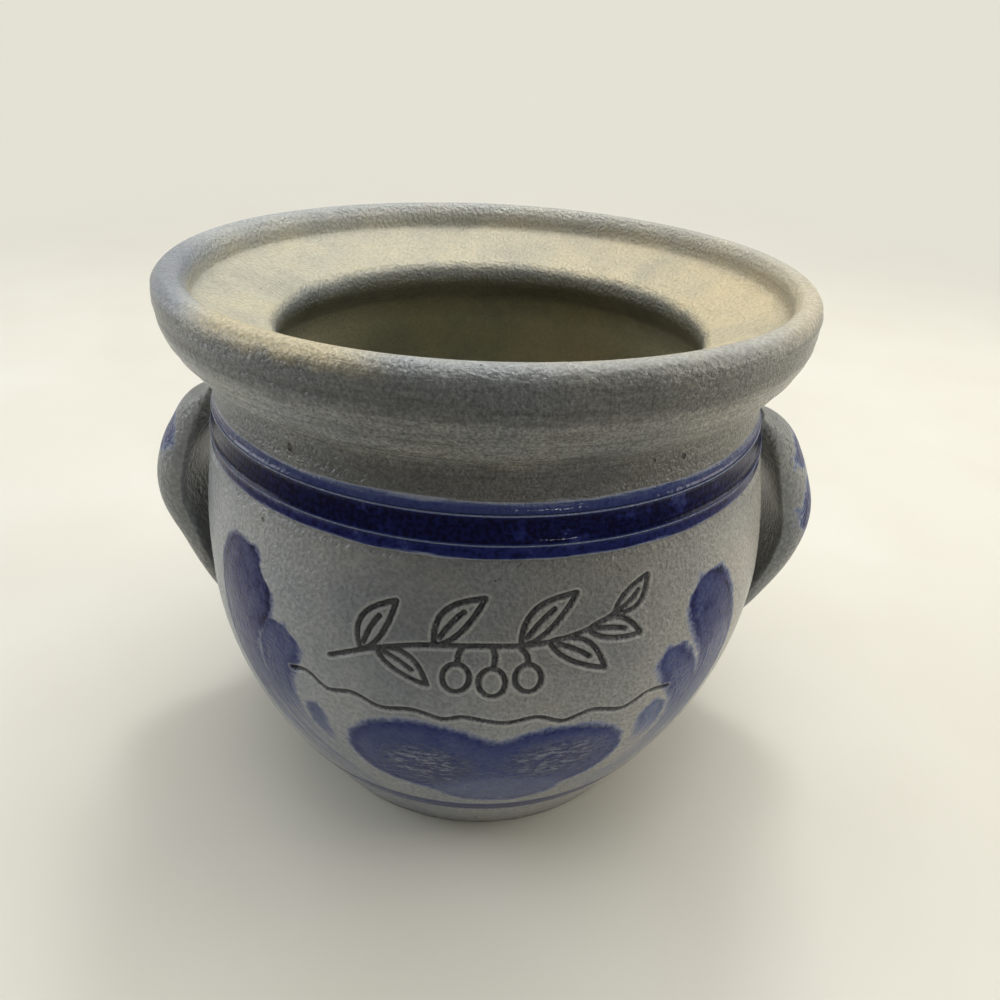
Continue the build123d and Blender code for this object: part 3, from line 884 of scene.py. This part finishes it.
# Light: broad soft boxes overhead, behind and at each side, a small lamp high behind for the shine on the
# rim, a very small one at the front right for the sparks on the glaze, and a dim room.
MIDDLE_HEIGHT = 0.06    # m, half way up the jar, where every lamp is aimed
for name, place, size, watts, tint in (
    ("soft_box_behind", (0.25, 0.45, 1.00), (1.5, 0.9), 3.6, "#fffdf8"),
    ("overhead_soft_box", (0.0, 0.02, 1.10), (1.0, 1.0), 8.3, "#fffefb"),
    ("left_soft_box", (-1.05, 0.12, 0.44), (0.6, 0.5), 4.8, "#f6faff"),
    ("right_soft_box", (1.05, 0.12, 0.44), (0.6, 0.5), 4.8, "#fff9ee"),
    ("ceiling_lamp", (0.05, 0.36, 0.92), (0.16, 0.16), 1.90, "#ffffff"),
    ("small_front_light", (0.40, -0.78, 0.27), (0.03, 0.03), 1.30, "#ffffff"),
):
    lamp = bpy.data.lights.new(name, "AREA")
    lamp.shape = "RECTANGLE"
    lamp.size, lamp.size_y = size
    lamp.energy = watts
    lamp.color = linear(tint)[:3]
    holder = bpy.data.objects.new(name, lamp)
    bpy.context.scene.collection.objects.link(holder)
    aim = np.array([0.0, 0.0, MIDDLE_HEIGHT]) - np.array(place)
    back = -aim / np.linalg.norm(aim)
    right = np.cross([0.0, 0.0, 1.0], back)
    right /= np.linalg.norm(right)
    turned_to = np.eye(4)
    turned_to[:3, :3] = np.stack([right, np.cross(back, right), back], 1)
    turned_to[:3, 3] = place
    holder.matrix_world = mathutils.Matrix(turned_to.tolist())
    holder.visible_camera = False
world = bpy.data.worlds.new("dim_room")
bpy.context.scene.world = world
world.use_nodes = True
tree = world.node_tree
tree.nodes.clear()
room = node("Background", {"Color": linear("#fbfaf6"), "Strength": 0.02})
backdrop = node("Background", {"Color": linear(BACKDROP), "Strength": 1.0})
seen = node("MixShader", seen_rays(), room, backdrop)
node("OutputWorld", seen)

# The camera
# A phone held close above the front of the jar, 160 mm from its axis and 156 mm up. It looks 30 degrees
# down and is rolled a little. Lengths are in metres and angles in radians.
FOCAL = 0.751       # focal length as a share of the picture's width
DISTANCE, HEIGHT = 0.15965, 0.15586
PAN, TILT, ROLL, TURN = 0.0240, 0.5322, 0.0470, math.radians(2)
forward = np.array([math.sin(PAN) * math.cos(TILT), math.cos(PAN) * math.cos(TILT), -math.sin(TILT)])
level = np.array([math.cos(PAN), -math.sin(PAN), 0.0])
upright = np.cross(level, forward)
right = math.cos(ROLL) * level + math.sin(ROLL) * upright
upright = -math.sin(ROLL) * level + math.cos(ROLL) * upright
about = np.array([[math.cos(TURN), -math.sin(TURN), 0], [math.sin(TURN), math.cos(TURN), 0], [0, 0, 1]])
pose = np.eye(4)
pose[:3, :3] = about @ np.stack([right, upright, -forward], 1)
pose[:3, 3] = about @ np.array([0.0, -DISTANCE, HEIGHT])
lens = bpy.data.cameras.new("camera")
lens.sensor_width = 36
lens.lens = 36 * FOCAL
lens.clip_start = 0.01
camera = bpy.data.objects.new("camera", lens)
bpy.context.scene.collection.objects.link(camera)
camera.matrix_world = mathutils.Matrix(pose.tolist())
bpy.context.scene.camera = camera
bpy.context.scene.view_settings.view_transform = "Standard"

bpy.context.view_layer.update()
